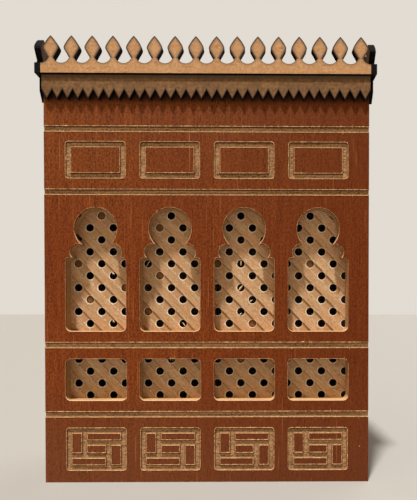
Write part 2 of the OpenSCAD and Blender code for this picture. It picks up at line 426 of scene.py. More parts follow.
class Finish:
    """A material under construction, with its surface coordinates in millimetres."""

    def __init__(self, name: str) -> None:
        """Starts a material with an empty Principled surface.

        Args:
            name: The material's name.
        """
        self.material = bpy.data.materials.new(name)
        self.material.use_nodes = True
        self.graph = Graph(self.material.node_tree)
        self.surface = self.material.node_tree.nodes["Principled BSDF"]
        coordinates = self.graph.add("ShaderNodeTexCoord")
        self.normal = coordinates.outputs["Normal"]
        self.place = self.graph.vector("MULTIPLY", coordinates.outputs["Object"], (1 / MM, 1 / MM, 1 / MM))

    def axes(self, across: Vector, outward: Vector, along: Vector) -> NodeSocket:
        """Gives the place along three directions of a board, with the grain along the third."""
        return self.graph.combine(*(self.graph.dot(self.place, way) for way in (across, outward, along)))

    def level(self) -> NodeSocket:
        """Gives the height above the floor."""
        return self.graph.split(self.place)[2]

    def rise(self) -> NodeSocket:
        """Gives how far the surface faces up."""
        return self.graph.split(self.normal)[2]

    def grain(self, place: Any, ribbon_w: float, streak_w: float) -> Any:
        """Gives the outputs of the wood grain at a place."""
        inputs = {"Vector": place, "Ribbon Width": ribbon_w, "Streak Width": streak_w}
        return self.graph.group(grain_effect(), inputs).outputs

    def close(
        self, colour: Any, roughness: Any, height: Any, strength: float, depth_mm: float, shine: float
    ) -> Material:
        """Joins colour, roughness and relief to the surface.

        Args:
            colour: The base colour.
            roughness: The roughness.
            height: The relief's height.
            strength: How strongly the relief shows.
            depth_mm: The relief's depth.
            shine: The level of the surface's reflection.

        Returns:
            The finished material.
        """
        inputs = {"Strength": strength, "Distance": depth_mm * MM, "Height": height}
        relief = self.graph.add("ShaderNodeBump", inputs).outputs[0]
        self.graph.feed(self.surface.inputs["Base Color"], colour)
        self.graph.feed(self.surface.inputs["Roughness"], roughness)
        self.graph.feed(self.surface.inputs["Normal"], relief)
        self.surface.inputs["Specular IOR Level"].default_value = shine
        return self.material


@dataclass(frozen=True)
class FibreTone:
    """Colours of bare fibreboard, the size of its flecks and the share of the cutter's level marks."""

    light: Colour
    dark: Colour
    fleck: Colour
    fleck_size: float = 0.9
    marks: float = 0.45
    fleck_share: float = 0.5

    def build(self, finish: Finish) -> tuple[Any, Any]:
        """Builds bare fibreboard in a finish.

        Args:
            finish: The material to build it in.

        Returns:
            Its colour and its relief.
        """
        graph = finish.graph
        fibre = graph.group(fibre_effect(), {"Vector": finish.place, "Fleck Size": self.fleck_size}).outputs
        tone = graph.weigh((fibre["Mottle"], fibre["Marks"]), (1.0 - self.marks, self.marks))
        colour = graph.mix(tone, self.dark, self.light)
        return graph.stain(colour, (fibre["Flecks"], Tint(self.fleck, self.fleck_share))), fibre["Height"]


ROUTED_TONE = FibreTone(paint(201, 157, 113), paint(96, 62, 33), paint(58, 34, 14), 1.8, 0.35)
BLIND_TONE = FibreTone(paint(184, 140, 96), paint(138, 98, 60), paint(104, 70, 38), 1.4, 0.3)
SLOPE_TONE = FibreTone(paint(150, 104, 62), paint(92, 56, 28), paint(60, 34, 14), 1.2, 0.0)
JAMB_TONE = FibreTone(paint(208, 170, 124), paint(168, 130, 88), paint(120, 80, 42))
SAWN_TONE = FibreTone(paint(150, 116, 78), paint(118, 88, 56), paint(92, 64, 38), 1.4)
TORN_TONE = FibreTone(paint(226, 186, 138), paint(186, 142, 94), paint(150, 104, 60))
SPLIT_TONE = FibreTone(paint(240, 214, 176), paint(214, 176, 128), paint(180, 134, 84), 0.7)
DISC_TONE = FibreTone(paint(140, 92, 44), paint(98, 60, 26), paint(72, 42, 16), 1.1)


@dataclass(frozen=True)
class Burn:
    """A spot that the cutter burnt black, with its middle and its half sizes in millimetres."""

    middle: Triple
    half: Triple


@dataclass(frozen=True)
class VeneerFinish:
    """Satin red-brown veneer over fibreboard, which shows bare where the cutter went through the veneer."""

    name: str
    outward: Vector
    grain: Vector
    reach: float
    half: float
    routed: FibreTone = ROUTED_TONE
    burns: tuple[Burn, ...] = ()
    veneer_t: float = 0.35
    edge_t: float = 0.05
    ribbon_w: float = 7.0
    streak_w: float = 1.15
    patch_w: float = 60.0
    speck_size: Triple = (1.6, 1.6, 2.2)
    figure_shares: tuple[float, ...] = (0.13, 0.22, 0.23, 0.42)
    dark: Colour = paint(72, 24, 4)
    light: Colour = paint(155, 78, 28)
    patch: Tint = Tint(paint(116, 48, 14), 0.35)
    low: Tint = Tint(paint(105, 66, 42), 0.45)
    low_z: Pair = (20.0, 110.0)
    # Painted sheen: the veneer's green rises towards the top, where light from above falls.
    top_sheen_green: float = 1.1
    top_sheen_z: Pair = (230.0, 300.0)
    # Painted shade: the veneer darkens towards the right, away from the light.
    right_falloff_shade: Tint = Tint(paint(94, 39, 10), 0.5)
    right_falloff_x: Pair = (-100.0, 150.0)
    pore: Tint = Tint(paint(56, 18, 4), 0.4)
    hairline: Tint = Tint(paint(184, 118, 64), 0.5)
    # Painted shade below the skirt's teeth, and deep painted shade in the gaps between them, on upright faces
    # only.
    skirt_shade: Colour = paint(34, 12, 4)
    skirt_shade_z: Pair = (336.0, 353.0)
    skirt_shade_share: float = 0.15
    gap_shade_z: Pair = (348.0, 356.5)
    gap_shade_share: float = 0.93
    # Painted shade: the colour that the jambs darken to deeper in the openings, less where they face up.
    deep: Colour = paint(150, 104, 62)
    burnt: Tint = Tint(paint(14, 8, 5), 0.95)
    burnt_rag: float = 0.12

    def make(self) -> Material:
        """Builds the material.

        Returns:
            The finished material.
        """
        finish = Finish(self.name)
        graph = finish.graph
        place = finish.axes(self.grain.cross(self.outward), self.outward, self.grain)
        grain = finish.grain(place, self.ribbon_w, self.streak_w)
        aside, out, _ = graph.split(place)
        depth = graph.minus(self.reach, out)
        inside = graph.math("LESS_THAN", graph.math("ABSOLUTE", aside), self.half - self.edge_t)
        bare = graph.times(graph.ramp(depth, self.veneer_t * 0.6, self.veneer_t), inside)
        bare_colour, bare_height = self.build_bare(finish, depth)
        colour = graph.mix(bare, self.build_veneer(finish, place, grain), bare_colour)
        satin = graph.line(grain["Streak"], 0.12, 0.45)
        roughness = graph.ramp(bare, 0.0, 1.0, satin, 0.9)
        height = graph.ramp(bare, 0.0, 1.0, grain["Height"], bare_height)
        return finish.close(colour, roughness, height, strength=0.5, depth_mm=0.12, shine=0.12)

    def build_veneer(self, finish: Finish, place: Any, grain: Any) -> Any:
        """Builds the veneer's colour: its figure and slow changes, with painted sheen at the top, painted
        shade to the right and painted shade below the skirt.

        Args:
            finish: The material to build it in.
            place: The place along the board's directions.
            grain: The outputs of the grain there.

        Returns:
            The colour.
        """
        graph = finish.graph
        level = finish.level()
        speck = graph.spots(place, self.speck_size, 0.35, 0.65, detail=1.0, roughness=0.7)
        figure = (grain["Ribbon"], grain["Streak"], grain["Fibre"], speck)
        tone = graph.weigh(figure, self.figure_shares)
        patches = graph.group(patches_effect(), {"Vector": place, "Patch Size": self.patch_w}).outputs[0]
        colour = graph.stain(
            graph.mix(tone, self.dark, self.light),
            (patches, self.patch),
            (graph.ramp(level, *self.low_z, 1.0, 0.0), self.low),
        )
        # Painted sheen towards the top.
        green = graph.ramp(level, *self.top_sheen_z, 1.0, self.top_sheen_green)
        colour = graph.stain(
            graph.vector("MULTIPLY", colour, graph.combine(1.0, green, 1.0)),
            # Painted shade towards the right.
            (graph.ramp(graph.split(place)[0], *self.right_falloff_x), self.right_falloff_shade),
            (grain["Pores"], self.pore),
            (grain["Hairlines"], self.hairline),
        )
        # Painted shade below the skirt and in its teeth's gaps.
        shade = graph.ramp(level, *self.skirt_shade_z, 0.0, self.skirt_shade_share)
        painted_shade = graph.math("MAXIMUM", shade, graph.ramp(level, *self.gap_shade_z, 0.0, self.gap_shade_share))
        steep = graph.ramp(finish.rise(), 0.4, 0.7, 1.0, 0.0)
        return graph.mix(graph.times(painted_shade, steep), colour, self.skirt_shade)

    def build_bare(self, finish: Finish, depth: Any) -> tuple[Any, Any]:
        """Builds the bare fibreboard: routed floors, jambs with painted shade deeper in the openings, and
        burns.

        Args:
            finish: The material to build it in.
            depth: The depth below the board's face.

        Returns:
            Its colour and its relief.
        """
        graph = finish.graph
        routed, height = self.routed.build(finish)
        jamb, _ = JAMB_TONE.build(finish)
        # Painted shade on the jambs, deeper in the openings and weaker on faces that face up.
        upright = graph.ramp(finish.rise(), 0.2, 0.7, 1.0, graph.ramp(depth, 5.0, 9.0, 0.0, 0.8))
        jamb_shade_band = graph.times(graph.ramp(depth, 1.0, 2.5), graph.ramp(depth, 5.0, 10.0, 0.6, 0.45))
        jamb = graph.mix(graph.times(upright, jamb_shade_band), jamb, self.deep)
        facing = graph.dot(finish.normal, self.outward)
        colour = graph.mix(graph.ramp(facing, 0.4, 0.7), jamb, routed)
        for burn in self.burns:
            off = graph.scaled(graph.vector("SUBTRACT", finish.place, burn.middle), *burn.half)
            ragged = graph.line(height, self.burnt_rag, graph.vector("LENGTH", off))
            colour = graph.stain(colour, (graph.ramp(ragged, 0.8, 1.1, 1.0, 0.0), self.burnt))
        return colour, height


@dataclass(frozen=True)
class SlopeFinish:
    """Bare fibreboard of a sloping side: pale rim fibre with a painted highlight where it faces up, and
    painted shade where it hangs over.
    """

    name: str
    side: Side
    reach: float
    # Pale rim fibre, brightened to a painted highlight where the slope faces up.
    pale: Colour
    pale_d: Pair = (0.4, 0.9)
    pale_shares: Pair = (0.85, 0.2)
    # Painted shade on the faces that hang over.
    dark: Tint = Tint(paint(84, 52, 28), 0.8)

    def make(self) -> Material:
        """Builds the material.

        Returns:
            The finished material.
        """
        finish = Finish(self.name)
        graph = finish.graph
        colour, height = SLOPE_TONE.build(finish)
        depth = graph.minus(self.reach, graph.dot(finish.place, self.side.outward))
        rise = finish.rise()
        # Pale fibre along the rim, with a painted highlight where the slope faces up.
        crisp = graph.ramp(depth, *self.pale_d, *self.pale_shares)
        colour = graph.mix(graph.times(crisp, graph.ramp(rise, 0.1, 0.4, 0.1, 1.0)), colour, self.pale)
        # Painted shade where the slope faces down.
        colour = graph.stain(colour, (graph.ramp(rise, -0.4, -0.05, 1.0, 0.0), self.dark))
        return finish.close(colour, 0.88, height, strength=0.5, depth_mm=0.12, shine=0.15)


@dataclass(frozen=True)
class LatticeFinish:
    """Pale bare wood whose grain follows the slats, with channels between them and black holes in those, and
    painted light and shade along the channels' edges and the holes' rims.
    """

    side: Side
    face: float
    hole: Vector
    step_x: float
    step_z: float
    hole_r: float = 3.35
    char_w: float = 0.45
    channel_w: float = 7.2
    channel_d: float = 0.8
    ribbon_w: float = 5.0
    streak_w: float = 0.9
    ring_w: float = 0.9
    line_w: float = 0.5
    crisp_w: float = 0.9
    figure_shares: tuple[float, ...] = (0.25, 0.4, 0.2, 0.25)
    light: Colour = paint(224, 189, 150)
    dark: Colour = paint(170, 128, 88)
    olive: Tint = Tint(paint(160, 126, 78), 0.75)
    olive_size: Triple = (1.4, 1.4, 2.0)
    rosy: Tint = Tint(paint(206, 150, 112), 0.6)
    rosy_size: Triple = (5.0, 5.0, 14.0)
    amber: Tint = Tint(paint(208, 144, 70), 0.65)
    amber_size: Triple = (1.8, 1.8, 7.0)
    channel: Tint = Tint(paint(178, 134, 90), 0.4)
    pore: Tint = Tint(paint(140, 96, 54), 0.4)
    # Painted highlight: broken pale line along the channels' edges on the side towards the light.
    crisp: Tint = Tint(paint(244, 226, 200), 0.75)
    crisp_size: Triple = (1.5, 1.5, 1.8)
    # Painted shadow: dark line along the channels' edges, strongest on the side away from the light.
    line: Tint = Tint(paint(88, 54, 26), 0.85)
    # Pale chamfer round each hole, with a painted highlight on the side towards the light.
    ring: Tint = Tint(paint(244, 226, 200), 0.9)
    inside: Colour = paint(12, 8, 5)

    def make(self) -> Material:
        """Builds the material.

        Returns:
            The finished material.
        """
        finish = Finish(f"lattice_wood_{self.side.label}")
        graph = finish.graph
        along = (self.side.across * self.step_x - UP * self.step_z).normalized()
        across = along.cross(self.side.outward)
        place = finish.axes(across, self.side.outward, along)
        grain = finish.grain(place, self.ribbon_w, self.streak_w)
        over, out, down = graph.split(place)
        depth = graph.minus(self.face, out)
        spacing = math.hypot(self.step_x, self.step_z)
        pitch = 2 * self.step_x * self.step_z / spacing
        lag = 2 * self.step_z**2 / spacing
        count = graph.math("DIVIDE", graph.minus(over, across.dot(self.hole)), pitch)
        channel = graph.math("ROUND", count)
        aside = graph.times(graph.minus(count, channel), pitch)
        ahead = graph.minus(down, graph.line(channel, lag, along.dot(self.hole)))
        ahead = graph.math("DIVIDE", ahead, spacing)
        ahead = graph.times(graph.minus(ahead, graph.math("ROUND", ahead)), spacing)
        off_hole = graph.vector("LENGTH", graph.combine(aside, ahead))
        off_rim = graph.minus(off_hole, self.hole_r)
        slat = {"W": graph.math("FLOOR", count)}
        tint = graph.add("ShaderNodeTexWhiteNoise", slat, noise_dimensions="1D").outputs["Value"]
        figure = (grain["Ribbon"], grain["Streak"], grain["Fibre"], tint)
        tone = graph.weigh(figure, self.figure_shares)
        off_edge = graph.minus(graph.math("ABSOLUTE", aside), self.channel_w / 2)
        off_edge = graph.math("ABSOLUTE", off_edge)
        # Which side of a channel or hole faces the light, for painted light and shade.
        painted_lit_side = graph.ramp(graph.math("DIVIDE", aside, off_hole), -0.3, 0.5)
        crisp = graph.times(graph.ramp(off_edge, 0.0, self.crisp_w, 1.0, 0.0), painted_lit_side)
        painted_edge_shadow = graph.times(graph.ramp(off_edge, 0.0, self.line_w, 1.0, 0.0), graph.line(painted_lit_side, -0.75, 1.0))
        ring = graph.ramp(off_rim, 0.6 * self.ring_w, 1.6 * self.ring_w, 1.0, 0.0)
        colour = graph.stain(
            graph.mix(tone, self.dark, self.light),
            (graph.spots(place, self.olive_size, 0.45, 0.7, roughness=0.7), self.olive),
            (graph.spots(place, self.rosy_size, 0.45, 0.7), self.rosy),
            (graph.spots(place, self.amber_size, 0.52, 0.68), self.amber),
            (graph.ramp(depth, 0.3 * self.channel_d, 0.9 * self.channel_d), self.channel),
            (grain["Pores"], self.pore),
            (graph.times(crisp, graph.spots(place, self.crisp_size, 0.4, 0.65, detail=1.0)), self.crisp),
            (graph.times(painted_edge_shadow, graph.ramp(off_rim, self.ring_w, 2 * self.ring_w)), self.line),
            # Hole rims: pale chamfer with a painted highlight on the lit side.
            (graph.times(ring, graph.line(painted_lit_side, 0.6, 0.4)), self.ring),
        )
        burnt = graph.ramp(off_rim, self.char_w / 3, self.char_w, 1.0, 0.0)
        sunk = graph.ramp(depth, 1.05 * self.channel_d, 1.4 * self.channel_d)
        colour = graph.mix(graph.math("MAXIMUM", burnt, sunk), colour, self.inside)
        roughness = graph.line(grain["Streak"], 0.1, 0.7)
        return finish.close(colour, roughness, grain["Height"], strength=0.4, depth_mm=0.12, shine=0.2)


@dataclass(frozen=True)
class CutTone:
    """Colours of a strip cut by heat, the widths of its bleed and its halo, and the size of its mottle."""

    light: Colour
    dark: Colour
    bleed: float
    halo: Colour
    halo_w: float
    mottle: float


@dataclass(frozen=True)
class CutFinish:
    """Tan fibreboard cut by heat, with black edges, a brown bleed beside them, painted shade on inner faces
    and a painted shadow of the crest along a skirt's top.
    """

    name: str
    side: Side
    distance: Callable[[Finish], Any]
    tone: CutTone
    shade_z: float = 1000.0
    marks: float = 0.08
    patch_w: float = 14.0
    patch_share: float = 0.35
    halo_share: float = 0.85
    # Painted shadow of the crest on a skirt's top: a grey band, and a black line right under the crest.
    crest_shade: Tint = Tint(paint(84, 68, 54), 0.7)
    crest_shade_d: Pair = (3.0, 5.0)
    # Black of the cut edges, and also the painted contact shadow right under the crest.
    char_and_contact_shade: Tint = Tint(paint(9, 6, 4), 0.95)
    contact_shade_d: Pair = (0.4, 1.2)
    # Painted shade on the inner faces of the strips.
    back: Tint = Tint(paint(78, 54, 36), 0.9)
    smoke: Tint = Tint(paint(38, 22, 12), 0.85)
    fleck: Colour = paint(142, 92, 48)

    def make(self) -> Material:
        """Builds the material.

        Returns:
            The finished material.
        """
        finish = Finish(self.name)
        graph = finish.graph
        tone = self.tone
        colour, height = FibreTone(tone.light, tone.dark, self.fleck, tone.mottle, self.marks).build(finish)
        inputs = {"Vector": finish.place, "Patch Size": self.patch_w}
        patches = graph.group(patches_effect(), inputs).outputs[0]
        edge = self.distance(finish)
        top = graph.minus(self.shade_z, finish.level())
        facing = graph.dot(finish.normal, self.side.outward)
        inputs = {
            "Vector": finish.place,
            "Normal": finish.normal,
            "Outward": tuple(self.side.outward),
            "Edge Distance": edge,
            "Bleed": tone.bleed,
        }
        scorch = graph.group(scorch_effect(), inputs).outputs
        colour = graph.stain(
            colour,
            (patches, Tint(tone.dark, self.patch_share)),
            (graph.ramp(edge, 0.2 * tone.halo_w, tone.halo_w, 1.0, 0.0), Tint(tone.halo, self.halo_share)),
            # Painted shadow of the crest along a skirt's top, then a black painted contact shadow.
            (graph.ramp(top, *self.crest_shade_d, 1.0, 0.0), self.crest_shade),
            (graph.ramp(top, *self.contact_shade_d, 1.0, 0.0), self.char_and_contact_shade),
            # Painted shade on inner faces.
            (graph.ramp(facing, -0.6, -0.3, 1.0, 0.0), self.back),
            (scorch["Brown"], self.smoke),
        )
        colour = graph.mix(scorch["Char"], colour, self.char_and_contact_shade.colour)
        roughness = graph.ramp(scorch["Char"], 0.0, 1.0, 0.72, 0.9)
        return finish.close(colour, roughness, height, strength=0.35, depth_mm=0.1, shine=0.12)


@dataclass(frozen=True)
class BareFinish:
    """Bare fibreboard or wood fibre of one tone, for plain boards, burrs, chips and slivers."""

    name: str
    tone: FibreTone

    def make(self) -> Material:
        """Builds the material.

        Returns:
            The finished material.
        """
        finish = Finish(self.name)
        colour, height = self.tone.build(finish)
        return finish.close(colour, 0.85, height, strength=0.4, depth_mm=0.1, shine=0.2)


def dress(node: str, material: Material) -> None:
    """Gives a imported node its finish.

    Args:
        node: The node's name.
        material: The finish.
    """
    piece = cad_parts[node]
    piece.data.materials.clear()
    piece.data.materials.append(material)
    log.info("dressed %s in %s", node, material.name)


def add_piece(name: str, mesh: Mesh) -> Object:
    """Adds a finished mesh to the object.

    Args:
        name: The piece's name.
        mesh: Its mesh, in place.

    Returns:
        The piece.
    """
    mesh.name = name
    piece = bpy.data.objects.new(name, mesh)
    bpy.context.scene.collection.objects.link(piece)
    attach(piece, BODY)
    log.info("built %s with %d faces", name, len(mesh.polygons))
    return piece


def close_mesh(work: bmesh.types.BMesh, name: str, *finishes: Material) -> Mesh:
    """Turns shapes under construction into a mesh.

    Args:
        work: The shapes, which are freed.
        name: The mesh's name.
        finishes: The finish that it takes, if it has one by now.

    Returns:
        The mesh.
    """
    mesh = bpy.data.meshes.new(name)
    work.to_mesh(mesh)
    work.free()
    for material in finishes:
        mesh.materials.append(material)
    return mesh


@dataclass(frozen=True)
class RimEdge:
    """A piece of a sharp rim in a board's outer face: its ends, the way off its wall and the wall's depth."""

    ends: tuple[Vector, Vector]
    off_wall: Vector
    depth: float


def find_rims(node: str, side: Side) -> list[RimEdge]:
    """Finds the sharp rims of the grooves and openings in a board's outer face.

    Args:
        node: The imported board.
        side: The face that the board is on.

    Returns:
        The pieces of the rims, without the board's own outline.
    """
    reach = side.reach(node) * MM
    low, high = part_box(node)
    work = bmesh.new()
    work.from_mesh(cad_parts[node].data)
    bmesh.ops.remove_doubles(work, verts=work.verts, dist=WELD_M)
    work.normal_update()

    def sunk(vert: bmesh.types.BMVert) -> float:
        """Gives how far a corner lies behind the outer face."""
        return reach - side.outward.dot(vert.co)

    def on_outline(edge: bmesh.types.BMEdge) -> bool:
        """Tells whether an edge runs along the board's own outline.

        Args:
            edge: The edge.

        Returns:
            Whether it does.
        """
        for axis in range(3):
            values = [vert.co[axis] for vert in edge.verts]
            for limit in (low[axis], high[axis]):
                if side.outward[axis] == 0 and all(abs(value - limit) < NEAR_M for value in values):
                    return True
        return False

    rims = []
    for edge in work.edges:
        sharp = len(edge.link_faces) == 2 and edge.calc_face_angle(0.0) > SHARP_ANGLE
        if sharp and all(sunk(vert) < NEAR_M for vert in edge.verts) and not on_outline(edge):
            wall = min(edge.link_faces, key=lambda face: face.normal.dot(side.outward))
            ends = (edge.verts[0].co.copy(), edge.verts[1].co.copy())
            rims.append(RimEdge(ends, wall.normal.copy(), max(sunk(vert) for vert in wall.verts)))
    work.free()
    return rims


def join_rims(rims: Iterable[RimEdge]) -> Mesh:
    """Joins the pieces of rims into a mesh of edges alone.

    Args:
        rims: The pieces.

    Returns:
        The mesh.
    """
    work = bmesh.new()
    for rim in rims:
        work.edges.new([work.verts.new(end) for end in rim.ends])
    bmesh.ops.remove_doubles(work, verts=work.verts, dist=WELD_M)
    return close_mesh(work, "rims")


@dataclass(frozen=True)
class Slope:
    """The sloping side under a rim, for walls of some depths.

    Each level of its profile is a depth, with the distance off a wall that faces down and one that faces up.
    """

    name: str
    shallow: float
    deep: float
    profile: tuple[Triple, ...]
    # The rim's pale colour, which the slope's finish raises to a painted highlight where it faces up.
    pale: Colour
    burr_r: float
    least_lean: float = -0.6
    straight_lean: float = 0.99
    spots_per_mm: int = 100

    def choose(self, rims: Iterable[RimEdge]) -> list[RimEdge]:
        """Picks the rims whose walls are of its depths."""
        return [rim for rim in rims if self.shallow < rim.depth / MM < self.deep]

    def build(self, side: Side, rims: list[RimEdge]) -> Mesh:
        """Sweeps the profile along the rims, with mitred corners.

        Args:
            side: The face that the rims are in.
            rims: The rims to line.

        Returns:
            The sloping sides as one mesh.
        """
        ways: dict[tuple[int, ...], list[Vector]] = {}
        for rim in rims:
            for end in rim.ends:
                ways.setdefault(self.spot(end), []).append(rim.off_wall)
        work = bmesh.new()
        lines: dict[tuple[int, ...], list[bmesh.types.BMVert]] = {}
        for rim in rims:
            for end in rim.ends:
                spot = self.spot(end)
                if spot not in lines:
                    near = ways[spot]
                    steps = [self.corner(near, level) - side.outward * level[0] for level in self.profile]
                    lines[spot] = [work.verts.new(end + step * MM) for step in steps]
            first, second = (lines[self.spot(end)] for end in rim.ends)
            for k in range(len(self.profile) - 1):
                face = work.faces.new((first[k], second[k], second[k + 1], first[k + 1]))
                face.normal_update()
                if face.normal.dot(side.outward) < 0:
                    face.normal_flip()
        return close_mesh(work, self.name)

    def spot(self, point: Vector) -> tuple[int, ...]:
        """Gives a point's place to a hundredth of a millimetre, so that the ends of two pieces match."""
        return tuple(round(part / MM * self.spots_per_mm) for part in point)

    def corner(self, ways: list[Vector], level: Triple) -> Vector:
        """Finds where one level of the profile lies off a point of the rim.

        Args:
            ways: The ways off the one or two walls that meet there.
            level: The level of the profile.

        Returns:
            The step from the rim, in millimetres.
        """
        _, hanging, rising = level
        steps = [hanging + (rising - hanging) * (way.z + 1) / 2 for way in ways]
        if len(ways) == 1:
            return ways[0] * steps[0]
        lean = max(ways[0].dot(ways[1]), self.least_lean)
        if lean > self.straight_lean:
            return (ways[0] * steps[0] + ways[1] * steps[1]) / 2
        first, second = ((steps[k] - lean * steps[1 - k]) / (1 - lean**2) for k in range(2))
        return ways[0] * first + ways[1] * second


@dataclass
class GeometryTree:
    """A Geometry Nodes tree with named inputs, run on a mesh to give a plain mesh."""

    name: str
    inputs: Mapping[str, str]
    fill: Fill
    tree: NodeTree = field(init=False)

    def __post_init__(self) -> None:
        """Builds the tree, which ends by realizing its instances and setting their material."""
        self.tree = bpy.data.node_groups.new(self.name, "GeometryNodeTree")
        sockets = {"Geometry": "NodeSocketGeometry", **self.inputs, "Material": "NodeSocketMaterial"}
        for label, kind in sockets.items():
            self.tree.interface.new_socket(label, in_out="INPUT", socket_type=kind)
        self.tree.interface.new_socket("Geometry", in_out="OUTPUT", socket_type="NodeSocketGeometry")
        graph = Graph(self.tree)
        source = graph.add("NodeGroupInput").outputs
        made = self.fill(graph, {label: source[label] for label in sockets})
        real = graph.add("GeometryNodeRealizeInstances", {0: made}).outputs[0]
        inputs = {"Geometry": real, "Material": source["Material"]}
        coloured = graph.add("GeometryNodeSetMaterial", inputs).outputs[0]
        graph.add("NodeGroupOutput", {0: coloured})

    def run(self, base: Mesh, values: Mapping[str, Any]) -> Mesh:
        """Runs the tree on a mesh.

        Args:
            base: The mesh that the tree starts from.
            values: A value for each named input.

        Returns:
            The result as a plain mesh.
        """
        holder = bpy.data.objects.new(f"{self.name}_holder", base)
        bpy.context.scene.collection.objects.link(holder)
        modifier = holder.modifiers.new(self.name, "NODES")
        modifier.node_group = self.tree
        for item in self.tree.interface.items_tree:
            if item.in_out == "INPUT" and item.name in values:
                modifier[item.identifier] = values[item.name]
        bpy.context.view_layer.update()
        graph = bpy.context.evaluated_depsgraph_get()
        mesh = bpy.data.meshes.new_from_object(holder.evaluated_get(graph))
        holder.modifiers.remove(modifier)
        bpy.data.objects.remove(holder)
        return mesh


def follow_rims(graph: Graph, given: Mapping[str, Any], kind: str) -> Any:
    """Turns rims into curves, and those into curves or points of the given spacing.

    Args:
        graph: The tree to build in.
        given: The tree's inputs, by name.
        kind: The type of the node that spaces them.

    Returns:
        The curves or points.
    """
    curve = graph.add("GeometryNodeMeshToCurve", {"Mesh": given["Geometry"]}).outputs[0]
    inputs = {"Curve": curve, "Length": given["Spacing"]}
    return graph.add(kind, inputs, mode="LENGTH").outputs[0]


def sweep_burr(graph: Graph, given: Mapping[str, Any]) -> Any:
    """Sweeps a small ring along rims, for the thin wandering bead of fibre that the cutter raised.

    Args:
        graph: The tree to build in.
        given: The tree's inputs, by name.

    Returns:
        The burr.
    """
    curve = follow_rims(graph, given, "GeometryNodeResampleCurve")
    place = graph.add("GeometryNodeInputPosition").outputs[0]
    wander = {"Vector": place, "Scale": 900.0, "Detail": 1.0}
    shake = graph.add("ShaderNodeTexNoise", wander).outputs[1]
    shake = graph.vector("SUBTRACT", shake, (0.5, 0.5, 0.5))
    inputs = {0: shake, "Scale": given["Wander"]}
    offset = graph.add("ShaderNodeVectorMath", inputs, operation="SCALE").outputs[0]
    curve = graph.add("GeometryNodeSetPosition", {"Geometry": curve, "Offset": offset}).outputs[0]
    swell = {"Vector": place, "Scale": 420.0, "Detail": 3.0}
    thick = graph.add("ShaderNodeTexNoise", swell).outputs[0]
    radius = graph.times(graph.ramp(thick, 0.35, 0.7, 0.25, 1.0), given["Radius"])
    ring = graph.add("GeometryNodeCurvePrimitiveCircle", {"Resolution": 5, "Radius": 1.0}).outputs[0]
    inputs = {"Curve": curve, "Profile Curve": ring, "Fill Caps": True, "Scale": radius}
    return graph.add("GeometryNodeCurveToMesh", inputs).outputs[0]


def strew_flakes(graph: Graph, given: Mapping[str, Any]) -> Any:
    """Sets thin flakes of bare fibre on some of the points along rims, larger here and there.

    Args:
        graph: The tree to build in.
        given: The tree's inputs, by name.

    Returns:
        The flakes.
    """
    points = follow_rims(graph, given, "GeometryNodeCurveToPoints")
    seed = given["Seed"]
    inputs = {"Probability": given["Chance"], "Seed": seed}
    chosen = graph.add("FunctionNodeRandomValue", inputs, data_type="BOOLEAN").outputs[3]
    inputs = {"Min": given["Smallest"], "Max": given["Largest"], "Seed": graph.math("ADD", seed, 1.0)}
    size = graph.add("FunctionNodeRandomValue", inputs, data_type="FLOAT_VECTOR").outputs[0]
    flake = graph.add("GeometryNodeMeshIcoSphere", {"Radius": 1.0, "Subdivisions": 1}).outputs[0]
    turn = graph.combine(0.0, 0.0, given["Turn"])
    inputs = {"Points": points, "Selection": chosen, "Instance": flake, "Rotation": turn, "Scale": size}
    return graph.add("GeometryNodeInstanceOnPoints", inputs).outputs[0]


BURR_INPUTS = {"Spacing": NUMBER, "Wander": NUMBER, "Radius": NUMBER}
FLAKE_SIZES = {"Smallest": VECTOR, "Largest": VECTOR, "Turn": NUMBER}
FLAKE_INPUTS = {"Spacing": NUMBER, "Chance": NUMBER, **FLAKE_SIZES, "Seed": "NodeSocketInt"}


@dataclass(frozen=True)
class Flakes:
    """Flakes along rims: their spacing, how often one sits there, and their smallest and largest sizes."""

    spacing: float
    chance: float
    small: Triple
    large: Triple

    def values(self, turn: float, seed: int, material: Material) -> dict[str, Any]:
        """Gives the values that their tree runs with.

        Args:
            turn: The flakes' turn about the upright.
            seed: The seed of their random sizes.
            material: Their finish.

        Returns:
            A value for each named input.
        """
        return {
            "Spacing": self.spacing * MM,
            "Chance": self.chance,
            "Smallest": [size * MM for size in self.small],
            "Largest": [size * MM for size in self.large],
            "Turn": turn,
            "Seed": seed,
            "Material": material,
        }


@dataclass(frozen=True)
class Nick:
    """A larger chip in the front panel's face, with its middle and its size in millimetres."""

    x: float
    z: float
    width: float
    height: float


